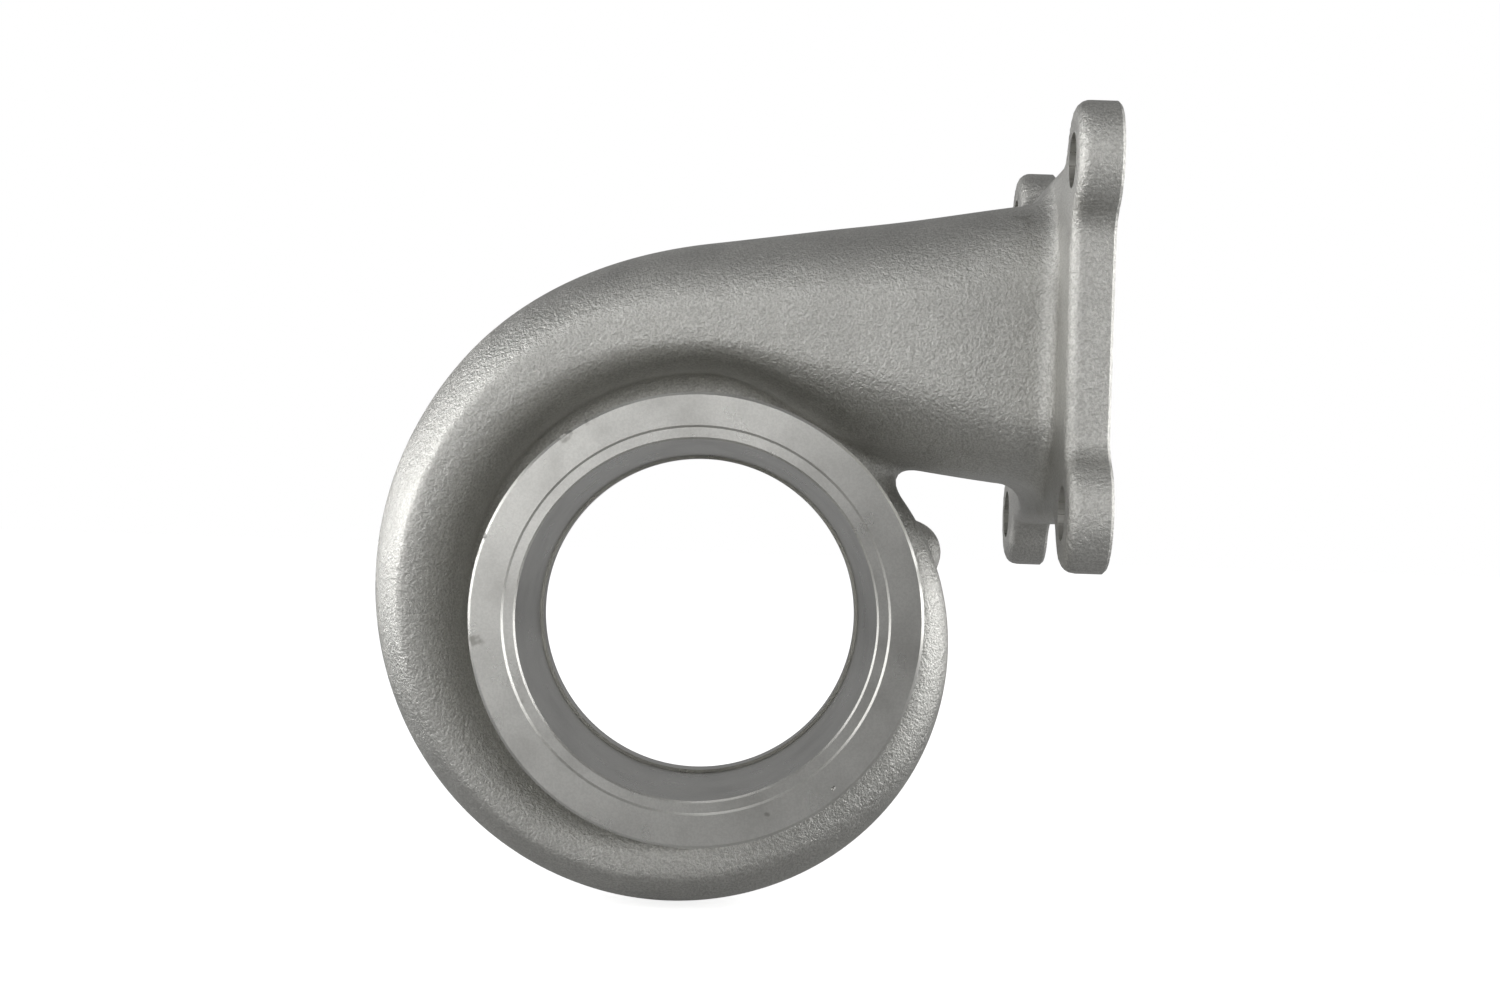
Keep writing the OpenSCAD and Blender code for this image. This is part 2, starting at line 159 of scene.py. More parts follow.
# Outlet: clamp ring, neck behind it, gasket recess, mouth and wheel bore
RING_R = MOUNTS["outlet_rim"]["dims"]["r_mm"]
RIM_W = 2.2
RING_SLOPE = math.radians(20)
RING_LAP = 0.3
NECK_R = 45.0
NECK_LOW_W = -20.0
NECK_BELOW = 4.0
NECK_EDGE_R = 1.0
RECESS_R = 42.5
RECESS_H = 0.5
MOUTH_R = 39.9
MOUTH_C = 0.45
THROAT_R = MOUNTS["wheel_bore"]["dims"]["r_mm"]
THROAT_W = 23.0
THROAT_H = MOUNTS["wheel_bore"]["dims"]["length_mm"]
LEAD_C = 0.6
EDGE_C = 0.6

# Centre housing side
INDUCER_R = 41.0
SLOT_STEP = 2.0
SLOT_R = GAS_ROOT_R + SLOT_STEP
SLOT_W = 12.0
SEAT_STEP = 4.0
SEAT_R = SLOT_R - SEAT_STEP
CENTRE_FLANGE_R = 53.0
CENTRE_EDGE_R = 2.0
PILOT_R = MOUNTS["centre_pilot"]["dims"]["r_mm"]
PILOT_H = 7.0
BOSS_COUNT = MOUNTS["centre_bolts"]["dims"]["count"]
BOSS_PITCH_R = MOUNTS["centre_bolts"]["dims"]["pcd_mm"] / 2
BOSS_R = 8.0
BOSS_H = 26.0
BOSS_ROUND = 6.0
BOSS_ANGLE = 16.9
TAP_R = MOUNTS["centre_bolts"]["dims"]["hole_r_mm"]
TAP_H = 12.0
TAP_C = 0.6
TAP_POINTS = 48
DRILL_TIP = math.radians(31)

# Fillets of the casting. The one at the flange gets smaller towards the outlet, between two
# heights, and the one in the crotch fades out above the neck, between two angles
HUB_FILLET = 5.0
VALLEY_FILLET = 6.0
FLANGE_FRONT_FILLET = 4.2
FLANGE_FRONT_W = (22.0, 34.0)
BOSS_FILLET = 6.0
CROTCH_FILLET = 8.0
CROTCH_FADED = 0.5
CROTCH_FADE = (40.0, 70.0)
PAD_FILLET = 5.0

# Machining: stock left on cast faces, and how far the tools run past the faces that they cut
STOCK = 4.0
OVERRUN = 2.0
BACK_OVERRUN = 8.0
FACE_CUT_X = 60.0
FACE_CUT_U = (-50.0, 200.0)
FACE_CUT_W = (-100.0, 100.0)

# Mesh: grid, its margins round the box, gap given far from a form, how far from the flange its
# own gap is worked out, steps of turned tools, and angle of a crisp edge
VOXEL = 1.45
GRID_MARGIN = 4.0
FLANGE_MARGIN = 9.0
FAR = 50.0
FLANGE_REACH = 20.0
TURNED_STEPS = 288
SHARP_ANGLE = math.radians(28)
# A face belongs to the tool whose surface its middle lies this near to
PROFILE_NEAR = 0.03
FLAT_NEAR = 0.02
HOLE_NEAR = 0.05


# Shape of the sections

def ramp(v):
    v = np.clip(v, 0.0, 1.0)
    return v * v * (3 - 2 * v)


def mix(a, b, share):
    return a + (b - a) * share


def cubic(x0, y0, s0, x1, y1, s1, x):
    """Cubic through two ends, with the slope at each."""
    w = x1 - x0
    t = (x - x0) / w
    return ((2 * t**3 - 3 * t**2 + 1) * y0 + (t**3 - 2 * t**2 + t) * w * s0
            + (3 * t**2 - 2 * t**3) * y1 + (t**3 - t**2) * w * s1)


def through(stations, first_slope, x):
    """Smooth curve through stations (place, value)."""
    places, values = np.array(stations, dtype=float).T
    slopes = np.empty(len(places))
    slopes[0] = first_slope
    slopes[1:-1] = (values[2:] - values[:-2]) / (places[2:] - places[:-2])
    slopes[-1] = (values[-1] - values[-2]) / (places[-1] - places[-2])
    k = np.clip(np.searchsorted(places, x, side="right") - 1, 0, len(places) - 2)
    return cubic(places[k], values[k], slopes[k], places[k + 1], values[k + 1], slopes[k + 1], x)


def scroll_r(a):
    return through(SCROLL_R, -CREST_SLOPE * SCROLL_R[0][1] * math.pi / 180, a)


def scroll_b(a):
    return through(SCROLL_B, SCROLL_B_SLOPE, a)


def scroll_w(a):
    return -SCROLL_LEAN * ramp((a - SCROLL_START) / LEAN_TURN)


def neck_top(x):
    return cubic(0, SCROLL_R[0][1], CREST_SLOPE, NECK_END_X, NECK_TOP_U, TOP_SLOPE, x)


def neck_bottom(x):
    near = cubic(0, ROOT_R[0][1], 0, CROTCH_X, CROTCH_U, CROTCH_SLOPE, x)
    far = cubic(CROTCH_X, CROTCH_U, CROTCH_SLOPE, NECK_END_X, NECK_BOTTOM_U, BOTTOM_SLOPE, x)
    return np.where(x < CROTCH_X, near, far)


# Distance functions, in millimetres: negative inside

def corner_gap(a, low, low_flat, high_flat, high, w, half_w, low_w, high_w):
    """Section with elliptic corners: a runs from low to high, w from -half_w to half_w."""
    up, down = (a - high_flat) / (high - high_flat), (low_flat - a) / (low_flat - low)
    reach_a = np.where(up > down, high - high_flat, low_flat - low)
    reach_w = np.where(up > down, high_w, low_w)
    p = np.maximum(np.maximum(up, down), 0)
    q = np.maximum(np.abs(w) - half_w + reach_w, 0) / reach_w
    level = np.maximum(np.hypot(p, q), 0.05)
    slope = np.hypot(p / reach_a, q / reach_w) / level
    return (level - 1) / np.maximum(slope, 1e-3)


def round_union(a, b, radius):
    """Union whose inner corner is a fillet."""
    return (np.maximum(radius, np.minimum(a, b))
            - np.hypot(np.maximum(radius - a, 0), np.maximum(radius - b, 0)))


def slab_gap(a, low_a, high_a, b, low_b, high_b, rounding=0.0):
    """Rectangle in two coordinates with rounded corners."""
    da = np.maximum(low_a - a, a - high_a) + rounding
    db = np.maximum(low_b - b, b - high_b) + rounding
    outside = np.hypot(np.maximum(da, 0), np.maximum(db, 0))
    return outside + np.minimum(np.maximum(da, db), 0) - rounding


def turn_angle(x, u):
    """Angle round the axis, counted on past the tongue from where the scroll starts."""
    a = np.degrees(np.arctan2(u, x)) % 360
    return np.where(a < SCROLL_START, a + 360, a)


def scroll_gap(x, u, w):
    a = turn_angle(x, u)
    crest, half_w = through(CREST_R, 0, a), scroll_b(a)
    w = w - scroll_w(a)
    back_w = BACK_SHARE * half_w
    bow = BOW_SHARE * ramp((a - SCROLL_START) / BOW_FADE) * np.maximum(scroll_r(a) - BOW_FROM_R, 0)
    bow = bow * np.minimum(np.abs(w / half_w), 1) ** 2
    outer_r = np.maximum(scroll_r(a) - bow, crest + CORNER_MIN)
    inner_w = np.where(w > 0, through(INNER_W, 0, a), back_w)
    outer_w = np.where(w > 0, through(OUTER_W, 0, a), back_w)
    return corner_gap(np.hypot(x, u), through(ROOT_R, 0, a), through(FLAT_R, 0, a),
                      crest, outer_r, w, half_w, inner_w, outer_w)


def hub_gap(x, u, w):
    """What fills the scroll's inside, below the hollow round the outlet neck."""
    inner_r = through(HUB_R, 0, turn_angle(x, u))
    return slab_gap(np.hypot(x, u), -inner_r, inner_r, w, -TAIL_B, HUB_W)


def neck_gap(x, u, w):
    x = np.clip(x, 0, NECK_END_X)
    half_w = mix(SCROLL_B[0][1], NECK_HALF_W, ramp(x / NECK_END_X))
    back = BACK_SHARE * half_w
    share = ramp(x / CROTCH_X)
    top_w, bottom_w = through(NECK_TOP_W, 0, x), through(NECK_BOTTOM_W, 0, x)
    return corner_gap(u, neck_bottom(x), through(NECK_FLAT_BOTTOM, FLAT_BOTTOM_SLOPE, x),
                      through(NECK_FLAT_TOP, FLAT_TOP_SLOPE, x), neck_top(x), w, half_w,
                      np.where(w > 0, bottom_w, mix(back, bottom_w, share)),
                      np.where(w > 0, top_w, mix(back, top_w, share)))


def ear_outline(inset=0.0):
    """Closed outline of the flange, as points (u, w) from its centre."""
    ear = np.array([BOLT_DU / 2, BOLT_DW / 2])
    reach = EAR_R + EAR_FILLET_R
    first = np.array([WAIST_U + EAR_FILLET_R, 0.0])
    first[1] = ear[1] - math.sqrt(reach**2 - (first[0] - ear[0]) ** 2)
    second = np.array([0.0, WAIST_W + EAR_FILLET_R])
    second[0] = ear[0] - math.sqrt(reach**2 - (second[1] - ear[1]) ** 2)

    def arc(centre, radius, start, end, steps):
        turn = np.linspace(start, end, steps)
        return centre + radius * np.stack([np.sin(turn), np.cos(turn)], axis=1)

    meet_1 = math.atan2(*(first - ear))
    meet_2 = math.atan2(*(second - ear))
    quarter = np.concatenate([
        arc(first, EAR_FILLET_R + inset, 1.5 * math.pi, math.pi + meet_1, 8),
        arc(ear, EAR_R - inset, meet_1, meet_2, 32)[1:-1],
        arc(second, EAR_FILLET_R + inset, math.pi + meet_2, math.pi, 8)])
    back = quarter[::-1]
    return np.concatenate([quarter, back * [-1, 1], quarter * [-1, -1], back * [1, -1]])


def polygon_gap(p, corners):
    """Distance from points p to a closed polygon."""
    best = np.full(len(p), np.inf)
    inside = np.zeros(len(p), dtype=bool)
    for a, b in zip(corners, np.roll(corners, -1, axis=0)):
        edge = b - a
        if edge @ edge < 1e-12:
            continue
        t = np.clip(((p - a) @ edge) / (edge @ edge), 0, 1)
        off = p - a - t[:, None] * edge
        best = np.minimum(best, np.einsum("ij,ij->i", off, off))
        crosses = (a[1] > p[:, 1]) != (b[1] > p[:, 1])
        if a[1] != b[1]:
            side = p[:, 0] < edge[0] * (p[:, 1] - a[1]) / edge[1] + a[0]
            inside ^= crosses & side
    return np.where(inside, -1.0, 1.0) * np.sqrt(best)


EAR_OUTLINE = ear_outline()


def flange_gap(x, u, w):
    near = x > NECK_END_X - FLANGE_REACH
    gap = np.full(x.shape, FAR)
    flat = np.stack([u[near] - FLANGE_CENTRE_U, w[near]], axis=1)
    outline = polygon_gap(flat, EAR_OUTLINE)
    outline = outline + BACK_EDGE_R
    back_x, stock_x = FLANGE_FACE_X - FLANGE_T, FLANGE_FACE_X + STOCK + BACK_EDGE_R
    across = np.maximum(back_x - x[near], x[near] - stock_x) + BACK_EDGE_R
    outside = np.hypot(np.maximum(outline, 0), np.maximum(across, 0))
    gap[near] = outside + np.minimum(np.maximum(outline, across), 0) - BACK_EDGE_R
    return gap


def boss_gap(x, u, w):
    gap = np.full(x.shape, FAR)
    for k in range(BOSS_COUNT):
        turn = math.radians(BOSS_ANGLE + k * 360 / BOSS_COUNT)
        r = np.hypot(x - BOSS_PITCH_R * math.cos(turn), u - BOSS_PITCH_R * math.sin(turn))
        one = slab_gap(r, -BOSS_R, BOSS_R, w, CENTRE_FACE_W - STOCK, CENTRE_FACE_W + BOSS_H, BOSS_ROUND)
        gap = np.minimum(gap, one)
    return gap


def skin_gap(points):
    """Distance to the cast skin, before machining."""
    x, u, w = points.T
    r = np.hypot(x, u)
    scroll = scroll_gap(x, u, w)
    neck = neck_gap(x, u, w)
    angle = np.degrees(np.arctan2(u, x))
    start, end = CROTCH_FADE
    crotch = mix(CROTCH_FILLET, CROTCH_FADED, ramp((angle - start) / (end - start)))
    body = np.where(x >= 0, round_union(neck, scroll, crotch), scroll)
    body = round_union(body, hub_gap(x, u, w), HUB_FILLET)
    outlet_neck = slab_gap(r, -NECK_R, NECK_R, w, NECK_LOW_W, OUTLET_W - NECK_BELOW, NECK_EDGE_R)
    body = round_union(body, outlet_neck, VALLEY_FILLET)
    pad = slab_gap(r, -CENTRE_FLANGE_R, CENTRE_FLANGE_R, w, CENTRE_FACE_W - STOCK, -TAIL_B,
                   CENTRE_EDGE_R)
    body = round_union(body, pad, PAD_FILLET)
    near_w, full_w = FLANGE_FRONT_W
    foot = mix(NECK_FILLET_R, FLANGE_FRONT_FILLET, ramp((w - near_w) / (full_w - near_w)))
    body = round_union(body, flange_gap(x, u, w), foot)
    return round_union(body, boss_gap(x, u, w), BOSS_FILLET)


# Meshing

def gap_slope(gap, points, reach=0.05):
    slope = np.empty_like(points)
    for k in range(3):
        step = np.zeros(3)
        step[k] = reach
        slope[:, k] = (gap(points + step) - gap(points - step)) / (2 * reach)
    return slope


def onto_surface(gap, points, rounds=3):
    """Moves points onto the surface where gap is zero."""
    for _ in range(rounds):
        slope = gap_slope(gap, points)
        steep = np.maximum(np.einsum("ij,ij->i", slope, slope), 0.05)
        move = -(gap(points) / steep)[:, None] * slope
        length = np.linalg.norm(move, axis=1, keepdims=True)
        points = points + move * np.minimum(1, VOXEL / np.maximum(length, 1e-9))
    return points


def relaxed(points, quads):
    """Each point moved halfway to the middle of its neighbours."""
    ends = np.concatenate([quads.ravel(), np.roll(quads, -1, axis=1).ravel()])
    others = np.concatenate([np.roll(quads, -1, axis=1).ravel(), quads.ravel()])
    count = np.bincount(ends, minlength=len(points))
    total = [np.bincount(ends, points[others, k], len(points)) for k in range(3)]
    return (points + np.stack(total, axis=1) / count[:, None]) / 2


def surface_mesh(gap, low, high):
    """Points and quads of the surface where gap is zero, inside a box."""
    far = 3 * VOXEL
    block = 4
    shape = [block * math.ceil((b - a) / VOXEL / block) for a, b in zip(low, high)]
    fine = np.indices(shape).reshape(3, -1).T * VOXEL + low
    # Coarse look first: only blocks that the surface can cross are worked out in full
    coarse_shape = [n // block for n in shape]
    middles = (np.indices(coarse_shape).reshape(3, -1).T + 0.5) * block * VOXEL + low
    coarse = gap(middles).reshape(coarse_shape)
    for axis in range(3):
        coarse = np.repeat(coarse, block, axis=axis)
    values = coarse.ravel()
    near = np.abs(values) < 1.6 * block * VOXEL + far
    values[near] = gap(fine[near])
    grid = openvdb.FloatGrid(far)
    grid.copyFromArray(np.clip(values, -far, far).reshape(shape).astype(np.float32))
    points, quads = grid.convertToQuads(0.0)
    points = points.astype(float) * VOXEL + np.array(low)
    points = onto_surface(gap, points)
    for _ in range(2):
        points = onto_surface(gap, relaxed(points, quads), 2)
    return points, quads


def to_row(points):
    """From the casting's own millimetres to the row frame's metres."""
    x, u, w = np.asarray(points, dtype=float).T
    return np.stack([x, CENTRE_FACE_W - w, u], axis=1) * MM


def new_object(name, points, faces):
    mesh = bpy.data.meshes.new(name)
    mesh.from_pydata(to_row(points).tolist(), [], [list(f) for f in faces])
    shell = bmesh.new()
    shell.from_mesh(mesh)
    bmesh.ops.recalc_face_normals(shell, faces=shell.faces)
    shell.to_mesh(mesh)
    shell.free()
    obj = bpy.data.objects.new(name, mesh)
    bpy.context.scene.collection.objects.link(obj)
    return obj


def turned(name, profile, steps=TURNED_STEPS, centre=(0, 0)):
    """Solid of revolution round the turbine axis, or one parallel to it, from (r, w)."""
    turn = np.arange(steps) * 2 * math.pi / steps
    points, rings = [], []
    for r, w in profile:
        if r == 0:
            rings.append([len(points)])
            points.append((centre[0], centre[1], w))
        else:
            rings.append(list(range(len(points), len(points) + steps)))
            points += [(centre[0] + r * math.cos(t), centre[1] + r * math.sin(t), w) for t in turn]
    faces = []
    for a, b in zip(rings, rings[1:]):
        for k in range(steps):
            n = (k + 1) % steps
            if len(a) == 1:
                faces.append((a[0], b[k], b[n]))
            elif len(b) == 1:
                faces.append((a[k], a[n], b[0]))
            else:
                faces.append((a[k], a[n], b[n], b[k]))
    return new_object(name, points, faces)


def lofted(name, rings):
    """Tube through closed rings of points, with a flat fan on each end."""
    n = len(rings[0])
    points = [p for ring in rings for p in ring]
    faces = [(k * n + i, k * n + (i + 1) % n, (k + 1) * n + (i + 1) % n, (k + 1) * n + i)
             for k in range(len(rings) - 1) for i in range(n)]
    for ring, start in ((rings[0], 0), (rings[-1], (len(rings) - 1) * n)):
        middle = len(points)
        points.append(tuple(np.mean(ring, axis=0)))
        faces += [(start + i, start + (i + 1) % n, middle) for i in range(n)]
    return new_object(name, points, faces)


def cut(target, tool, how="DIFFERENCE"):
    """One boolean step with the tool, which is then removed."""
    step = target.modifiers.new(how.lower(), "BOOLEAN")
    step.operation = how
    step.object = tool
    step.solver = "MANIFOLD"
    depsgraph = bpy.context.evaluated_depsgraph_get()
    result = bpy.data.meshes.new_from_object(target.evaluated_get(depsgraph))
    target.modifiers.clear()
    old = target.data
    target.data = result
    bpy.data.meshes.remove(old)
    bpy.data.objects.remove(tool)


# The housing

def oval(t, fullness):
    """Rounded section: 2 is an ellipse, more is closer to a rectangle."""
    power = 2 / fullness
    c, s = np.cos(t), np.sin(t)
    return np.sign(c) * np.abs(c) ** power, np.sign(s) * np.abs(s) ** power


def gas_passage():
    t = np.linspace(0, 2 * math.pi, GAS_POINTS, endpoint=False)
    rings = []
    for x in np.linspace(FLANGE_FACE_X + OVERRUN, 0, PORT_RINGS):
        along = min(x, FLANGE_FACE_X)
        top = cubic(0, SCROLL_R[0][1] - WALL, CREST_SLOPE,
                    FLANGE_FACE_X, FLANGE_CENTRE_U + PORT_DU / 2, PORT_TOP_SLOPE, along)
        bottom = cubic(0, ROOT_R[0][1] + WALL, 0,
                       FLANGE_FACE_X, FLANGE_CENTRE_U - PORT_DU / 2, PORT_BOTTOM_SLOPE, along)
        half_w = mix(SCROLL_B[0][1] - WALL, PORT_DW / 2, ramp(along / FLANGE_FACE_X))
        a, b = oval(t, mix(SCROLL_FULLNESS, PORT_FULLNESS, ramp(along / FLANGE_FACE_X)))
        u = (top + bottom) / 2 + (top - bottom) / 2 * a
        rings.append(np.stack([np.full_like(u, x), u, half_w * b], axis=1))
    for turn in np.linspace(SCROLL_START, GAS_END, SCROLL_RINGS)[1:]:
        top = scroll_r(turn) - WALL
        bottom = min(through(ROOT_R, 0, turn) + WALL, top - WALL)
        a, b = oval(t, SCROLL_FULLNESS)
        r = (top + bottom) / 2 + (top - bottom) / 2 * a
        w = scroll_w(turn) + (scroll_b(turn) - WALL) * b
        c, s = math.cos(math.radians(turn)), math.sin(math.radians(turn))
        rings.append(np.stack([r * c, r * s, w], axis=1))
    return lofted("gas", [[tuple(p) for p in ring] for ring in rings])


def gas_feed():
    """Gap under the hollow that lets the gas from the passage to the wheel."""
    middle_w, half_w = (FEED_W - SLOT_W) / 2, (FEED_W + SLOT_W) / 2 - FEED_INSET
    t = np.linspace(0, 2 * math.pi, FEED_POINTS, endpoint=False)
    a, b = oval(t, PORT_FULLNESS)
    rings = []
    for turn in np.linspace(SCROLL_START - FEED_LEAD, GAS_END, SCROLL_RINGS):
        top = through(CREST_R, 0, max(turn, SCROLL_START)) - WALL / 2
        r = (top + GAS_ROOT_R) / 2 + (top - GAS_ROOT_R) / 2 * a
        c, s = math.cos(math.radians(turn)), math.sin(math.radians(turn))
        rings.append([(x * c, x * s, middle_w + half_w * y) for x, y in zip(r, b)])
    return lofted("feed", rings)


def ring_profile():
    rim_w = OUTLET_W - EDGE_C
    slope_w = rim_w - RIM_W
    foot_r = NECK_R + EDGE_C
    foot_w = slope_w - (RING_R - foot_r) * math.tan(RING_SLOPE)
    return [(0, foot_w - EDGE_C), (NECK_R - RING_LAP, foot_w - EDGE_C), (foot_r, foot_w),
            (RING_R, slope_w), (RING_R, rim_w), (RING_R - EDGE_C, OUTLET_W), (0, OUTLET_W)]


def bore_profile():
    lip_w = OUTLET_W - RECESS_H
    contour_h = THROAT_W - THROAT_H
    contour = [(INDUCER_R - (INDUCER_R - THROAT_R) * math.cos(t), contour_h * (1 - math.sin(t)))
               for t in np.linspace(0, math.pi / 2, 14)]
    face_w, end_w = CENTRE_FACE_W, CENTRE_FACE_W - BACK_OVERRUN
    mouth_w = OUTLET_W + OVERRUN
    outside = BOSS_PITCH_R + BOSS_R + STOCK
    return ([(0, mouth_w), (RECESS_R + RECESS_H + OVERRUN, mouth_w), (RECESS_R, lip_w),
             (MOUTH_R + MOUTH_C, lip_w), (MOUTH_R, lip_w - MOUTH_C),
             (THROAT_R + LEAD_C, THROAT_W + LEAD_C), (THROAT_R, THROAT_W)]
            + contour
            + [(SLOT_R, 0), (SLOT_R, -SLOT_W), (SEAT_R, -SLOT_W), (SEAT_R, face_w + PILOT_H),
               (PILOT_R, face_w + PILOT_H), (PILOT_R, face_w + EDGE_C),
               (PILOT_R + EDGE_C, face_w), (outside, face_w), (outside, end_w),
               (0, end_w)])


def tapped_hole(centre):
    face_w = CENTRE_FACE_W
    start_w = face_w - OVERRUN
    profile = [(0, start_w), (TAP_R + TAP_C + OVERRUN, start_w), (TAP_R, face_w + TAP_C),
               (TAP_R, face_w + TAP_H), (0, face_w + TAP_H + TAP_R * math.tan(DRILL_TIP))]
    return turned("tap", profile, TAP_POINTS, centre)


def across_flange(name, u, w, radius, steps=64):
    """Drill along x, through the flange at one bolt hole."""
    turn = np.arange(steps) * 2 * math.pi / steps
    rings = []
    for x, r in ((NECK_END_X - OVERRUN, radius), (FLANGE_FACE_X - HOLE_C, radius),
                 (FLANGE_FACE_X + OVERRUN, radius + HOLE_C + OVERRUN)):
        rings.append([(x, u + r * math.cos(t), w + r * math.sin(t)) for t in turn])
    return lofted(name, rings)


def edge_tool():
    """Frame that chamfers the rim of the flange face, right round its outline."""
    rim_x, clear = FLANGE_FACE_X - FRONT_EDGE_C, 0.3
    beyond, outside = 1.0, 4.0
    loops = []
    for x, inset in ((rim_x - clear, -clear), (FLANGE_FACE_X + beyond, FRONT_EDGE_C + beyond),
                     (FLANGE_FACE_X + beyond, -outside), (rim_x - clear, -outside)):
        outline = ear_outline(inset) + [FLANGE_CENTRE_U, 0]
        loops.append(np.column_stack([np.full(len(outline), x), outline]))
    n = len(loops[0])
    points = np.concatenate(loops)
    faces = [(k * n + i, k * n + (i + 1) % n, (k + 1) % 4 * n + (i + 1) % n, (k + 1) % 4 * n + i)
             for k in range(4) for i in range(n)]
    return new_object("edge", points, faces)


def block(name, low, high):
    points = [(x, u, w) for x in (low[0], high[0]) for u in (low[1], high[1]) for w in (low[2], high[2])]
    faces = [(0, 1, 3, 2), (4, 6, 7, 5), (0, 4, 5, 1), (2, 3, 7, 6), (0, 2, 6, 4), (1, 5, 7, 3)]
    return new_object(name, points, faces)


def make_housing():
    low = (BOX_LOW[0] - GRID_MARGIN, BOX_LOW[2] - GRID_MARGIN,
           CENTRE_FACE_W - BOX_HIGH[1] - GRID_MARGIN)
    high = (FLANGE_FACE_X + FLANGE_MARGIN, BOX_HIGH[2] + GRID_MARGIN,
            CENTRE_FACE_W - BOX_LOW[1] + GRID_MARGIN)
    points, quads = surface_mesh(skin_gap, low, high)
    housing = new_object("housing", points, quads)
    cut(housing, turned("ring", ring_profile()), "UNION")
    cut(housing, gas_passage())
    cut(housing, gas_feed())
    cut(housing, turned("bore", bore_profile()))
    cut(housing, block("face", (FLANGE_FACE_X, FACE_CUT_U[0], FACE_CUT_W[0]),
                       (FLANGE_FACE_X + FACE_CUT_X, FACE_CUT_U[1], FACE_CUT_W[1])))
    cut(housing, edge_tool())
    for u in (-BOLT_DU / 2, BOLT_DU / 2):
        for w in (-BOLT_DW / 2, BOLT_DW / 2):
            cut(housing, across_flange("drill", FLANGE_CENTRE_U + u, w, BOLT_HOLE_R))
    for k in range(BOSS_COUNT):
        turn = math.radians(BOSS_ANGLE + k * 360 / BOSS_COUNT)
        cut(housing, tapped_hole((BOSS_PITCH_R * math.cos(turn), BOSS_PITCH_R * math.sin(turn))))
    return housing


housing = make_housing()
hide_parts(NODE)
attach(housing, "root")


# Materials

class Graph:
    """A material's nodes, added one by one with their links and values."""

    def __init__(self, name):
        self.material = bpy.data.materials.new(name)
        self.material.use_nodes = True
        self.nodes = self.material.node_tree.nodes
        self.links = self.material.node_tree.links
        self.shader = self.nodes["Principled BSDF"]
        self.place = self.add("ShaderNodeTexCoord").outputs["Object"]

    def fill(self, node, inputs):
        for key, value in inputs.items():
            if isinstance(value, bpy.types.NodeSocket):
                self.links.new(value, node.inputs[key])
            else:
                node.inputs[key].default_value = value

    def add(self, kind, inputs=None, **settings):
        node = self.nodes.new(kind)
        for key, value in settings.items():
            setattr(node, key, value)
        self.fill(node, inputs or {})
        return node

    def calc(self, operation, *values):
        return self.add("ShaderNodeMath", dict(enumerate(values)), operation=operation).outputs[0]

    def noise(self, size, detail=2.0, rough=0.5, vector=None):
        """Noise whose blotches are about size metres across."""
        return self.add("ShaderNodeTexNoise", {
            "Vector": vector or self.place, "Scale": 1 / size,
            "Detail": detail, "Roughness": rough}).outputs["Fac"]

    def spread(self, value, low, high, to_low=0.0, to_high=1.0):
        """value from low..high to to_low..to_high, smoothly and no further."""
        return self.add("ShaderNodeMapRange", {
            "Value": value, "From Min": low, "From Max": high,
            "To Min": to_low, "To Max": to_high}, interpolation_type="SMOOTHSTEP").outputs["Result"]

    def blend(self, share, a, b):
        node = self.add("ShaderNodeMix", {"Factor": share}, data_type="RGBA")
        self.fill_colour(node, 6, a)
        self.fill_colour(node, 7, b)
        return node.outputs[2]

    def fill_colour(self, node, index, value):
        if isinstance(value, bpy.types.NodeSocket):
            self.links.new(value, node.inputs[index])
        else:
            node.inputs[index].default_value = (*value, 1)

    def bump(self, height, depth, normal=None):
        """Bump of depth metres where height goes from 0 to 1."""
        inputs = {"Height": height, "Distance": depth, "Strength": 1.0}
        if normal:
            inputs["Normal"] = normal
        return self.add("ShaderNodeBump", inputs).outputs["Normal"]


STEEL = (0.63, 0.625, 0.598)
STEEL_LIGHT = (0.69, 0.685, 0.655)
STEEL_DARK = (0.39, 0.385, 0.365)
GRIME = (0.17, 0.16, 0.14)

# Grain of the faces, as size and depth in metres
GRIT = (0.00055, 0.0003)
PEEL = (0.0013, 0.00026)
SWELL = (0.022, 0.0004)
FINE_GRIT = (0.0005, 0.000012)
LATHE_RINGS = (0.0005, 0.000006)
MILL_ARCS = (0.0004, 0.00002)
MILL_CENTRE_Z = 0.12
DENT_DEPTH = 0.0003
DENT_EDGE = 0.0008
SMUDGE_EDGE = 0.002

# Handling marks, as x, u, w, radius in millimetres: smudges and rubs, then small dents
SMUDGES = [(-24.8, 43.3, 57.0, 1.8), (-21.0, 46.0, 57.0, 1.0), (-30.0, 40.2, 57.0, 2.6),
           (-49.3, 14.0, 57.0, 2.4), (-49.2, 4.0, 57.0, 1.4), (-48.9, -5.5, 57.0, 2.8),
           (-37.6, -19.2, 58.0, 1.0), (17.0, -42.0, 58.3, 0.8), (31.4, -35.9, 58.3, 0.7),
           (72.8, 91.7, 28.0, 4.5)]
DENTS = [(-62.9, 34.1, 25.0, 1.1), (17.6, -37.9, 58.3, 0.5), (31.4, -35.9, 58.3, 0.45),
         (-46.9, 17.0, 57.6, 0.8), (-30.6, 39.4, 57.6, 0.9)]


def marked(g, marks, ragged):
    """How far inside any of the marks a point is, 0 to 1, with ragged outlines."""
    wobble = g.noise(ragged, 3.0, 0.6)
    nearest = None
    for x, u, w, radius in marks:
        spot = tuple(to_row([(x, u, w)])[0])
        far = g.add("ShaderNodeVectorMath", {0: g.place, 1: spot}, operation="DISTANCE").outputs["Value"]
        share = g.calc("DIVIDE", far, radius * MM)
        nearest = share if nearest is None else g.calc("MINIMUM", nearest, share)
    edge = g.calc("ADD", nearest, g.spread(wobble, 0.3, 0.7, 0.5, -0.5))
    return g.spread(edge, 1.0, 0.2)


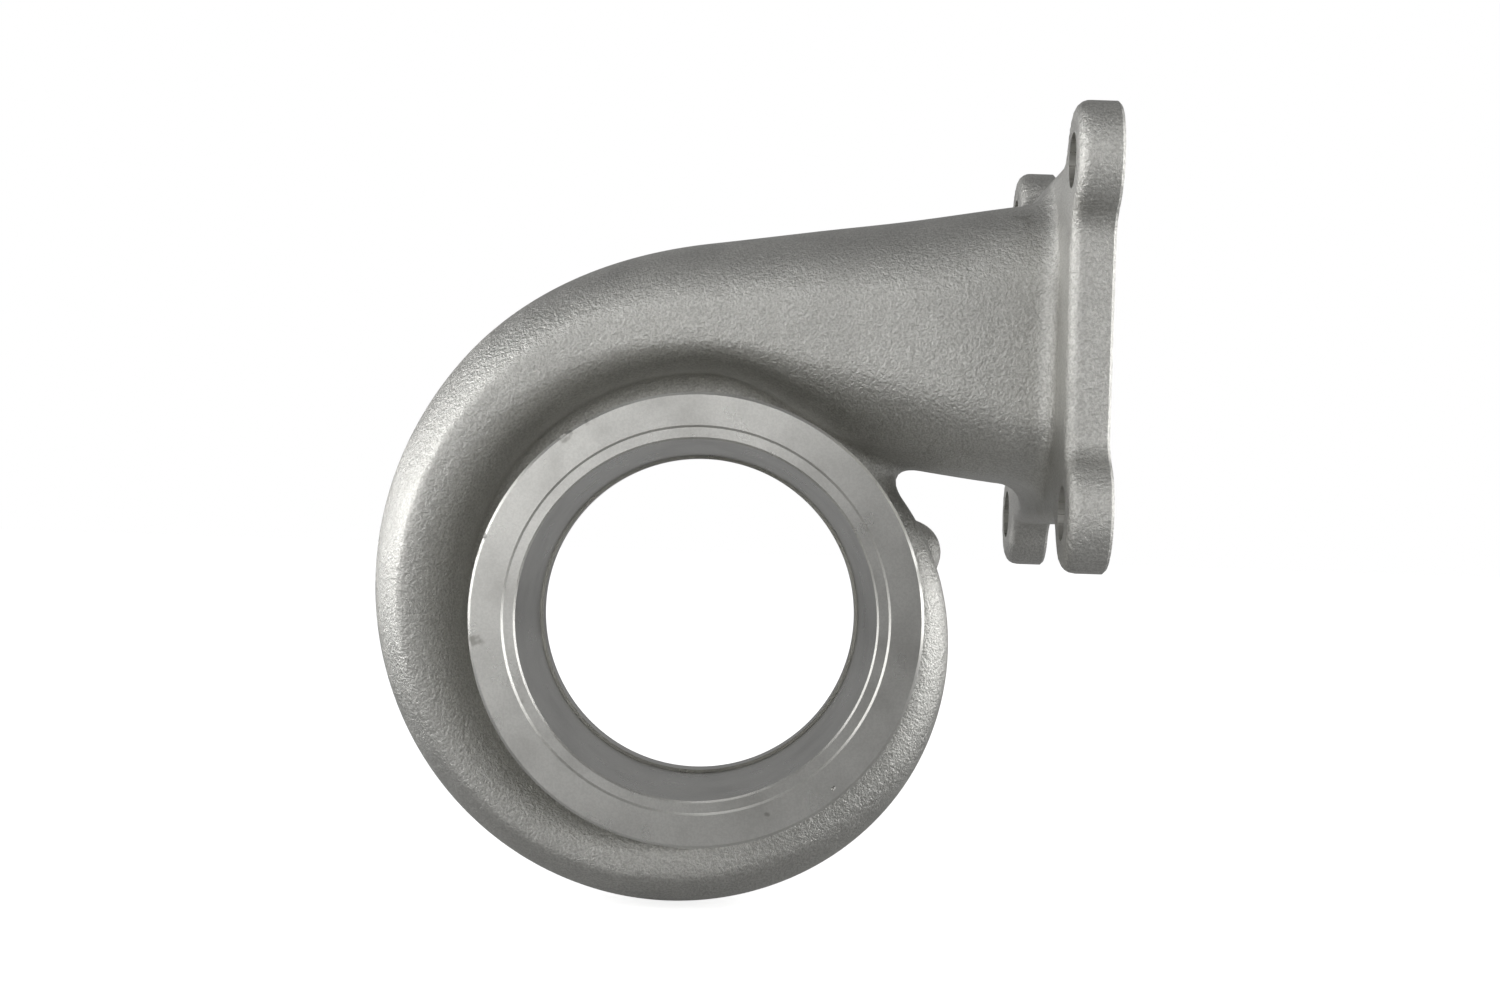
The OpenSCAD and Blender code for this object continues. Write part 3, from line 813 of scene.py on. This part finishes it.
def cast_skin():
    """Sandblasted investment-cast steel: fine grit over a faint orange peel."""
    g = Graph("cast_skin")
    grit = g.noise(GRIT[0], 3.0, 0.7)
    peel = g.noise(PEEL[0], 2.0)
    swell = g.noise(SWELL[0], 2.0)
    dents = marked(g, DENTS, DENT_EDGE)
    smudges = marked(g, SMUDGES, SMUDGE_EDGE)
    normal = g.bump(swell, SWELL[1])
    normal = g.bump(peel, PEEL[1], normal)
    normal = g.bump(grit, GRIT[1], normal)
    normal = g.bump(dents, -DENT_DEPTH, normal)
    tone = g.blend(g.spread(g.noise(0.03, 3.0), 0.35, 0.65), STEEL_LIGHT, STEEL)
    tone = g.blend(g.spread(grit, 0.62, 0.38, 0.0, 0.6), tone, STEEL_DARK)
    tone = g.blend(g.calc("MULTIPLY", smudges, 0.35), tone, GRIME)
    g.fill(g.shader, {
        "Base Color": tone, "Metallic": 1.0, "Normal": normal,
        "Roughness": g.spread(g.noise(0.006, 3.0), 0.3, 0.7, 0.32, 0.44)})
    return g.material


def turned_face():
    """Fine-turned and then blasted steel: faint rings round the turbine axis."""
    g = Graph("turned_face")
    axes = g.add("ShaderNodeSeparateXYZ", {"Vector": g.place})
    x, y, z = axes.outputs
    across = g.calc("SQRT", g.calc("ADD", g.calc("MULTIPLY", x, x), g.calc("MULTIPLY", z, z)))
    drift = g.calc("MULTIPLY", g.calc("ADD", x, z), 0.02)
    lathe = g.add("ShaderNodeCombineXYZ", {"X": across, "Y": y, "Z": drift}).outputs["Vector"]
    rings = g.noise(LATHE_RINGS[0], 2.0, 0.6, lathe)
    grit = g.noise(FINE_GRIT[0], 3.0, 0.7)
    dents = marked(g, DENTS, DENT_EDGE)
    smudges = marked(g, SMUDGES, SMUDGE_EDGE)
    film = g.spread(g.noise(0.012, 3.0, 0.5), 0.5, 0.8, 0.0, 0.15)
    normal = g.bump(grit, FINE_GRIT[1])
    normal = g.bump(rings, LATHE_RINGS[1], normal)
    normal = g.bump(dents, -DENT_DEPTH, normal)
    tone = g.blend(g.spread(g.noise(0.012, 3.0), 0.35, 0.65), STEEL_LIGHT, STEEL)
    tone = g.blend(g.spread(grit, 0.6, 0.4, 0.0, 0.2), tone, STEEL_DARK)
    tone = g.blend(g.calc("MAXIMUM", g.calc("MULTIPLY", smudges, 0.55), film), tone, GRIME)
    tangent = g.add("ShaderNodeTangent", direction_type="RADIAL", axis="Y").outputs["Tangent"]
    g.fill(g.shader, {
        "Base Color": tone, "Metallic": 1.0, "Normal": normal, "Tangent": tangent,
        "Anisotropic": 0.5, "Roughness": g.spread(g.noise(0.008, 3.0), 0.3, 0.7, 0.27, 0.32)})
    return g.material


def milled_face():
    """The flange face and the drilled holes: arcs left by a wide face mill."""
    g = Graph("milled_face")
    axes = g.add("ShaderNodeSeparateXYZ", {"Vector": g.place})
    y, z = axes.outputs[1], g.calc("SUBTRACT", axes.outputs[2], MILL_CENTRE_Z)
    across = g.calc("SQRT", g.calc("ADD", g.calc("MULTIPLY", y, y), g.calc("MULTIPLY", z, z)))
    mill = g.add("ShaderNodeCombineXYZ", {"X": across, "Y": g.calc("MULTIPLY", y, 0.03)}).outputs[0]
    arcs = g.noise(MILL_ARCS[0], 2.0, 0.6, mill)
    normal = g.bump(arcs, MILL_ARCS[1])
    tone = g.blend(g.spread(g.noise(0.012, 3.0), 0.35, 0.65), STEEL_LIGHT, STEEL)
    tone = g.blend(g.spread(g.noise(0.009, 4.0), 0.52, 0.75, 0.0, 0.3), tone, GRIME)
    g.fill(g.shader, {
        "Base Color": tone, "Metallic": 1.0, "Normal": normal,
        "Roughness": g.spread(arcs, 0.3, 0.7, 0.26, 0.36)})
    return g.material


def near_profile(r, w, profile):
    """Whether points (r, w) lie on the surface turned from a profile."""
    found = np.zeros(len(r), dtype=bool)
    for (r0, w0), (r1, w1) in zip(profile, profile[1:]):
        if (r0, w0) == (r1, w1):
            continue
        edge = np.array([r1 - r0, w1 - w0])
        t = np.clip(((r - r0) * edge[0] + (w - w0) * edge[1]) / (edge @ edge), 0, 1)
        found |= np.hypot(r - r0 - t * edge[0], w - w0 - t * edge[1]) < PROFILE_NEAR
    return found


def finish_faces(obj):
    """Each face gets the finish of the tool that made it."""
    mesh = obj.data
    mesh.materials.clear()
    cast, turned_slot, milled_slot = range(3)
    for material in (cast_skin(), turned_face(), milled_face()):
        mesh.materials.append(material)
    count = len(mesh.polygons)
    middle = np.empty(count * 3)
    mesh.polygons.foreach_get("center", middle)
    x, y, u = (middle.reshape(-1, 3) / MM).T
    w = CENTRE_FACE_W - y
    r = np.hypot(x, u)
    slot = np.full(count, cast, dtype=np.int32)
    is_turned = near_profile(r, w, ring_profile()) | near_profile(r, w, bore_profile())
    slot[is_turned] = turned_slot
    flat = np.abs(x - FLANGE_FACE_X) < FLAT_NEAR
    for du in (-BOLT_DU / 2, BOLT_DU / 2):
        for dw in (-BOLT_DW / 2, BOLT_DW / 2):
            off = np.hypot(u - FLANGE_CENTRE_U - du, w - dw)
            flat |= (off < BOLT_HOLE_R + HOLE_NEAR) & (x > NECK_END_X)
    slot[flat] = milled_slot
    mesh.polygons.foreach_set("material_index", slot)
    mesh.polygons.foreach_set("use_smooth", np.ones(count, dtype=bool))
    mesh.set_sharp_from_angle(angle=SHARP_ANGLE)
    mesh.update()


finish_faces(housing)
print("housing has", len(housing.data.polygons), "faces")


# Stage, light and camera

# Grey of the room, and share of the white background that metal and glass show
ROOM = 0.15
WHITE_IN_METAL = 0.12

# Floor, in metres and strengths: it glows more and more, up to white, from near to far
FLOOR_REACH = 6.0
FLOOR_BELOW = 0.0005
FLOOR_PALE = 0.8
FLOOR_GREY = 0.3
FLOOR_GLOW = 0.8
FLOOR_NEAR, FLOOR_FAR = 0.25, 0.6

# Camera: the photo's width and focal length in pixels, shift, roll and place in millimetres
PHOTO_W = 1500
FOCAL_PX = 2478
SHIFT_PX = 18.5
CAMERA_ROLL = math.radians(1.85)
CAMERA_X, CAMERA_U, CAMERA_W = 11.2, 22.65, 603.6
SENSOR_W = 36

# Soft panels: degrees from the line to the camera, right and up, size and radiance
PANEL_DISTANCE = 0.95
PANELS = [("left", -105, 5, (0.36, 0.9), 5.8),
          ("left_front", -75, 5, (0.32, 0.9), 2.2),
          ("left_key", -46, 5, (0.32, 0.9), 2.3),
          ("front", -14, 18, (0.46, 0.6), 1.35),
          ("right_front", 54, 5, (0.36, 0.9), 2.6),
          ("right", 94, 5, (0.7, 0.9), 3.2),
          ("top", -30, 66, (0.4, 0.4), 0.8)]


def make_camera():
    data = bpy.data.cameras.new("camera")
    data.sensor_width = SENSOR_W
    data.lens = SENSOR_W * FOCAL_PX / PHOTO_W
    data.shift_y = SHIFT_PX / PHOTO_W
    camera = bpy.data.objects.new("camera", data)
    right = Vector((math.cos(CAMERA_ROLL), 0, math.sin(CAMERA_ROLL)))
    up = Vector((-math.sin(CAMERA_ROLL), 0, math.cos(CAMERA_ROLL)))
    back = right.cross(up)
    pose = Matrix((right, up, back)).transposed().to_4x4()
    pose.translation = Vector((CAMERA_X, CENTRE_FACE_W - CAMERA_W, CAMERA_U)) * MM
    camera.matrix_world = pose
    bpy.context.scene.collection.objects.link(camera)
    bpy.context.scene.camera = camera


def panel(name, across, above, size, radiance):
    """Soft panel at angles in degrees from the line towards the camera, right and up."""
    yaw, pitch = math.radians(across), math.radians(above)
    way = Vector((math.sin(yaw) * math.cos(pitch), -math.cos(yaw) * math.cos(pitch), math.sin(pitch)))
    data = bpy.data.lights.new(name, "AREA")
    data.shape = "RECTANGLE"
    data.size, data.size_y = size
    data.energy = radiance * math.pi * size[0] * size[1]
    light = bpy.data.objects.new(name, data)
    light.location = way * PANEL_DISTANCE
    light.rotation_euler = way.to_track_quat("Z", "Y").to_euler()
    bpy.context.scene.collection.objects.link(light)


def white_share(nodes, links):
    """Full white for the camera, and a share of it in what metal and glass show."""
    path = nodes.new("ShaderNodeLightPath")
    shown = nodes.new("ShaderNodeMath")
    links.new(path.outputs["Is Glossy Ray"], shown.inputs[0])
    links.new(path.outputs["Is Transmission Ray"], shown.inputs[1])
    share = nodes.new("ShaderNodeMath")
    share.operation = "MULTIPLY_ADD"
    share.inputs[1].default_value = WHITE_IN_METAL
    links.new(shown.outputs["Value"], share.inputs[0])
    links.new(path.outputs["Is Camera Ray"], share.inputs[2])
    return share.outputs["Value"]


def make_world():
    world = bpy.data.worlds.new("studio")
    world.use_nodes = True
    nodes, links = world.node_tree.nodes, world.node_tree.links
    back = nodes["Background"]
    back.inputs["Color"].default_value = (ROOM, ROOM, ROOM, 1)
    white = nodes.new("ShaderNodeBackground")
    white.inputs["Color"].default_value = (1, 1, 1, 1)
    blend = nodes.new("ShaderNodeMixShader")
    links.new(white_share(nodes, links), blend.inputs["Fac"])
    links.new(back.outputs["Background"], blend.inputs[1])
    links.new(white.outputs["Background"], blend.inputs[2])
    links.new(blend.outputs["Shader"], nodes["World Output"].inputs["Surface"])
    bpy.context.scene.world = world


def floor_material():
    material = bpy.data.materials.new("floor")
    material.use_nodes = True
    nodes, links = material.node_tree.nodes, material.node_tree.links
    nodes.remove(nodes["Principled BSDF"])
    shown = nodes.new("ShaderNodeAddShader")
    pale = nodes.new("ShaderNodeBsdfDiffuse")
    pale.inputs["Color"].default_value = (FLOOR_PALE, FLOOR_PALE, FLOOR_PALE, 1)
    glow = nodes.new("ShaderNodeEmission")
    spot = nodes.new("ShaderNodeTexCoord")
    away = nodes.new("ShaderNodeVectorMath")
    away.operation = "LENGTH"
    links.new(spot.outputs["Object"], away.inputs[0])
    fade = nodes.new("ShaderNodeMapRange")
    for index, value in enumerate((FLOOR_NEAR, FLOOR_FAR, FLOOR_GLOW, 1.0), 1):
        fade.inputs[index].default_value = value
    links.new(away.outputs["Value"], fade.inputs["Value"])
    links.new(fade.outputs["Result"], glow.inputs["Strength"])
    links.new(pale.outputs["BSDF"], shown.inputs[0])
    links.new(glow.outputs["Emission"], shown.inputs[1])
    other = nodes.new("ShaderNodeBsdfDiffuse")
    other.inputs["Color"].default_value = (FLOOR_GREY, FLOOR_GREY, FLOOR_GREY, 1)
    blend = nodes.new("ShaderNodeMixShader")
    links.new(white_share(nodes, links), blend.inputs["Fac"])
    links.new(other.outputs["BSDF"], blend.inputs[1])
    links.new(shown.outputs["Shader"], blend.inputs[2])
    links.new(blend.outputs["Shader"], nodes["Material Output"].inputs["Surface"])
    return material


def make_floor():
    """Pale floor: white to the camera, with the housing's shadow on it."""
    mesh = bpy.data.meshes.new("floor")
    level = BOX_LOW[2] * MM - FLOOR_BELOW
    reach = FLOOR_REACH
    corners = [(-reach, -reach, level), (reach, -reach, level),
               (reach, reach, level), (-reach, reach, level)]
    mesh.from_pydata(corners, [], [(0, 1, 2, 3)])
    mesh.materials.append(floor_material())
    floor = bpy.data.objects.new("floor", mesh)
    bpy.context.scene.collection.objects.link(floor)


make_world()
make_camera()
make_floor()
for settings in PANELS:
    panel(*settings)
bpy.context.scene.view_settings.view_transform = "Standard"
